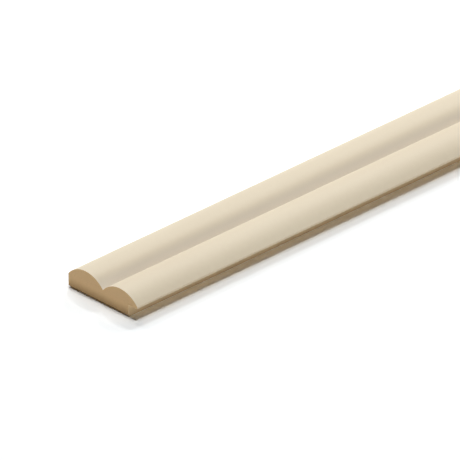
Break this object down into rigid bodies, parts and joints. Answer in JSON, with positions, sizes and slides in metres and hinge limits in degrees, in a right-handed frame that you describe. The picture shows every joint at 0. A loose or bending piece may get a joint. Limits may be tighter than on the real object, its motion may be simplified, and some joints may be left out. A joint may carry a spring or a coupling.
{
  "type": "wall panel end trim",
  "caption": "Straight moulding with two half-round beads side by side, a square edge, and a rebated edge whose thin lip laps over a wall panel to finish its run.",
  "frame": {"origin": "middle of the flat back, half way along the length and half way across the width", "axes": "+X across the width towards the rebated edge with the lip, +Y along the length, +Z away from the wall"},
  "size_m": [0.043, 2.4, 0.012],
  "materials": {
    "trim": "cream coating on the beaded face, bare MDF on the ends, edges and back"
  },
  "bodies": {
    "root": {"end_trim": "trim"}
  },
  "joints": []
}
